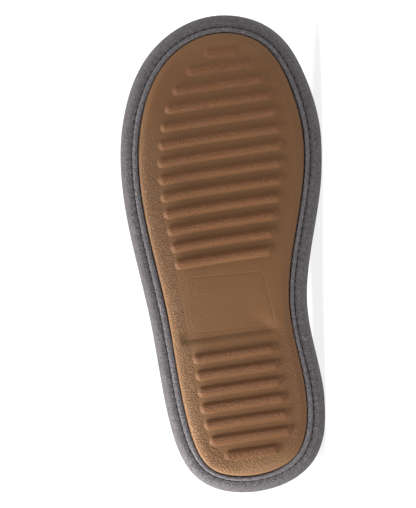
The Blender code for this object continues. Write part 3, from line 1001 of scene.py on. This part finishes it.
def new_material(name, roughness, specular):
    """A material with its node tree and shader."""
    material = bpy.data.materials.new(name)
    material.use_nodes = True
    shader = material.node_tree.nodes["Principled BSDF"]
    shader.inputs["Roughness"].default_value = roughness
    shader.inputs["Specular IOR Level"].default_value = specular
    return material, material.node_tree, shader


def noise(tree, size, detail=2.0, roughness=0.5, distortion=0.0, vector=None):
    """Noise with features of this size in millimetres."""
    where = vector or add_node(tree, "ShaderNodeTexCoord").outputs["Object"]
    inputs = {
        "Vector": where,
        "Scale": 1 / (size * MM),
        "Detail": detail,
        "Roughness": roughness,
        "Distortion": distortion,
    }
    return add_node(tree, "ShaderNodeTexNoise", inputs).outputs["Fac"]


def slanted(tree, angle, stretch):
    """Places on the piece, drawn out along a line that slants by this angle from straight across."""
    where = add_node(tree, "ShaderNodeTexCoord").outputs["Object"]
    inputs = {"Vector": where, "Rotation": (0.0, math.radians(angle), 0.0), "Scale": (1.0, 1.0, stretch)}
    return add_node(tree, "ShaderNodeMapping", inputs, vector_type="TEXTURE").outputs["Vector"]


def attribute(tree, name):
    """A named value of the mesh's points."""
    return add_node(tree, "ShaderNodeAttribute", attribute_name=name).outputs["Fac"]


def ramp(tree, value, low, high, to_low=0.0, to_high=1.0):
    """A value moved from one range to another, and kept in it."""
    inputs = {"Value": value, "From Min": low, "From Max": high, "To Min": to_low, "To Max": to_high}
    return add_node(tree, "ShaderNodeMapRange", inputs).outputs["Result"]


def math_node(tree, operation, first, second):
    """The sum, product or the like of two values."""
    return add_node(tree, "ShaderNodeMath", {0: first, 1: second}, operation=operation).outputs[0]


def mix_colour(tree, share, first, second):
    """A mix of two colours."""
    first_socket, second_socket, result_socket = 6, 7, 2
    inputs = {"Factor": share, first_socket: first, second_socket: second}
    return add_node(tree, "ShaderNodeMix", inputs, data_type="RGBA").outputs[result_socket]


def bump(tree, height, strength, distance_mm, normal=None):
    """A bump of this height in millimetres."""
    inputs = {"Height": height, "Strength": strength, "Distance": distance_mm * MM}
    if normal:
        inputs["Normal"] = normal
    return add_node(tree, "ShaderNodeBump", inputs).outputs["Normal"]


def rubber_material():
    """Tan moulded rubber: redder on the ribs, with a pebbled grain around them, painted shade in the
    grain's dips, and a painted highlight where the tread is paler.
    """
    material, tree, shader = new_material("tan_rubber_moulded", roughness=0.6, specular=0.22)
    rib, grain, line = (attribute(tree, name) for name in ("rib", "grain", "panel_line"))
    drawn_out = slanted(tree, angle=20, stretch=1.7)
    worms = noise(tree, size=0.6, detail=0.5, roughness=0.45, distortion=0.2, vector=drawn_out)
    grains = ramp(tree, worms, 0.38, 0.62)
    fine = noise(tree, size=0.7, detail=3.0, roughness=0.6)
    blotch = noise(tree, size=9.0, detail=2.0)
    field = mix_colour(tree, blotch, *TREAD_TONES)
    # The painted highlight on the tread's paler parts
    highlighted = mix_colour(tree, attribute(tree, "pale"), field, PAINTED_HIGHLIGHT_TREAD)
    rib_tops = mix_colour(tree, attribute(tree, "heel"), FOREFOOT_RIB_TOPS, HEEL_RIB_TOPS)
    ribbed = mix_colour(tree, rib, highlighted, rib_tops)
    speck = ramp(tree, fine, 0.3, 0.7, 0.0, 0.18)
    specked = mix_colour(tree, speck, ribbed, RUBBER_SPECKS)
    # Painted shade in the dips of the grain
    dip_shade = math_node(tree, "MULTIPLY", ramp(tree, grains, 0.0, 1.0, 0.5, 0.0), grain)
    tree.links.new(mix_colour(tree, dip_shade, specked, GRAIN_DIP_SHADE), shader.inputs["Base Color"])
    pebbles = math_node(tree, "MULTIPLY", grains, grain)
    grained = bump(tree, pebbles, strength=1.0, distance_mm=0.4)
    lined = bump(tree, ramp(tree, line, 0.25, 0.7), strength=0.6, distance_mm=0.15, normal=grained)
    uneven = bump(tree, fine, strength=0.35, distance_mm=0.08, normal=lined)
    tree.links.new(uneven, shader.inputs["Normal"])
    tree.links.new(ramp(tree, fine, 0.2, 0.8, 0.5, 0.66), shader.inputs["Roughness"])
    return material


def suede_material(name, tones):
    """Grey brushed microfibre with a short nap and soft darker and lighter strokes."""
    material, tree, shader = new_material(name, roughness=0.95, specular=0.15)
    shader.inputs["Sheen Weight"].default_value = 0.1
    shader.inputs["Sheen Roughness"].default_value = 0.5
    shader.inputs["Sheen Tint"].default_value = SUEDE_SHEEN
    drawn_out = slanted(tree, angle=45, stretch=1.5)
    nap = noise(tree, size=0.58, detail=1.0, roughness=0.5, distortion=0.2, vector=drawn_out)
    strokes = noise(tree, size=5.0, detail=2.0, roughness=0.6, distortion=0.6)
    napped = ramp(tree, nap, 0.38, 0.62, 0.08, 0.72)
    mixed = math_node(tree, "ADD", napped, ramp(tree, strokes, 0.3, 0.7, 0.0, 0.2))
    tree.links.new(mix_colour(tree, mixed, *tones), shader.inputs["Base Color"])
    tree.links.new(bump(tree, nap, strength=1.0, distance_mm=1.55), shader.inputs["Normal"])
    return material


def fleece_material():
    """Pale grey short fleece."""
    material, tree, shader = new_material("pale_fleece_pile", roughness=1.0, specular=0.1)
    shader.inputs["Sheen Weight"].default_value = 0.4
    shader.inputs["Sheen Roughness"].default_value = 0.6
    curls = noise(tree, size=1.6, detail=3.0, roughness=0.65, distortion=1.2)
    fibre = noise(tree, size=0.4, detail=2.0)
    curled_share = ramp(tree, curls, 0.3, 0.7, 0.0, 0.65)
    share = math_node(tree, "ADD", curled_share, ramp(tree, fibre, 0.3, 0.7, 0.0, 0.35))
    tree.links.new(mix_colour(tree, share, *FLEECE_TONES), shader.inputs["Base Color"])
    curled = bump(tree, curls, strength=0.8, distance_mm=0.6)
    fibrous = bump(tree, fibre, strength=0.5, distance_mm=0.2, normal=curled)
    tree.links.new(fibrous, shader.inputs["Normal"])
    return material


def thread_material(name, tones):
    """Spun thread."""
    material, tree, shader = new_material(name, roughness=0.8, specular=0.2)
    twist = noise(tree, size=0.3, detail=1.0)
    tree.links.new(mix_colour(tree, twist, *tones), shader.inputs["Base Color"])
    tree.links.new(bump(tree, twist, strength=0.5, distance_mm=0.1), shader.inputs["Normal"])
    return material


def make_camera():
    """The camera, square to the sole and rolled as in the photo."""
    along, across, upward = OWN_TURN.T
    up = math.cos(VIEW_LEAN) * along + math.sin(VIEW_LEAN) * across
    right = math.cos(VIEW_LEAN) * across - math.sin(VIEW_LEAN) * along
    data = bpy.data.cameras.new("camera")
    data.sensor_fit = "AUTO"
    data.sensor_width = SENSOR
    data.lens = SENSOR * VIEW_DISTANCE / VIEW_HEIGHT
    data.clip_end = VIEW_LIMIT
    camera = bpy.data.objects.new("camera", data)
    place = (OWN_TURN @ np.array(VIEW_CENTRE) + OWN_ORIGIN - VIEW_DISTANCE * upward) * MM
    turn = Matrix(np.column_stack([right, up, -upward]).tolist())
    camera.matrix_world = Matrix.Translation(Vector(place)) @ turn.to_4x4()
    bpy.context.scene.collection.objects.link(camera)
    bpy.context.scene.camera = camera


def add_light(light):
    """A soft square light, turned to the shoe."""
    data = bpy.data.lights.new(light.name, "AREA")
    data.shape = "SQUARE"
    data.size = light.size
    data.energy = light.power
    lamp = bpy.data.objects.new(light.name, data)
    lamp.location = light.place
    facing = Vector(SHOE_MIDDLE) - Vector(light.place)
    lamp.rotation_euler = facing.to_track_quat("-Z", "Y").to_euler()
    bpy.context.scene.collection.objects.link(lamp)


def make_stage():
    """A pale floor, an even sky and soft studio lights."""
    mesh = bpy.data.meshes.new("floor")
    corners = [(x * FLOOR_HALF, y * FLOOR_HALF, 0) for x, y in ((-1, -1), (1, -1), (1, 1), (-1, 1))]
    mesh.from_pydata(corners, [], [(0, 1, 2, 3)])
    floor = bpy.data.objects.new("floor", mesh)
    bpy.context.scene.collection.objects.link(floor)
    pale, _, shader = new_material("pale_floor", roughness=0.9, specular=0.1)
    shader.inputs["Base Color"].default_value = FLOOR_COLOUR
    shader.inputs["Emission Color"].default_value = WHITE
    shader.inputs["Emission Strength"].default_value = FLOOR_GLOW
    mesh.materials.append(pale)
    world = bpy.data.worlds.new("studio")
    bpy.context.scene.world = world
    world.use_nodes = True
    sky = world.node_tree.nodes["Background"]
    sky.inputs["Color"].default_value = WHITE
    sky.inputs["Strength"].default_value = SKY_STRENGTH
    for light in LIGHTS:
        add_light(light)
    bpy.context.scene.view_settings.view_transform = "Standard"
    bpy.context.scene.view_settings.look = "None"


def main():
    """Builds the pieces, the camera and the stage."""
    suede = suede_material("grey_suede_brushed", SUEDE_TONES)
    # The strip's paler suede is a painted highlight for the light on its cord
    strip = suede_material("grey_suede_strip_painted_highlight", PAINTED_LIGHTER_STRIP_TONES)
    fleece = fleece_material()
    rubber = rubber_material()
    dark_thread = thread_material("dark_thread", DARK_THREAD_TONES)
    grey_thread = thread_material("grey_thread", GREY_THREAD_TONES)
    pieces = [make_upper(suede, fleece), make_sole_panel(strip)]
    pieces += [make_insole(fleece), make_outsole(rubber)]
    pieces += make_stitches(dark_thread, grey_thread)
    for piece in pieces:
        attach(piece, "root")
    make_camera()
    make_stage()


main()
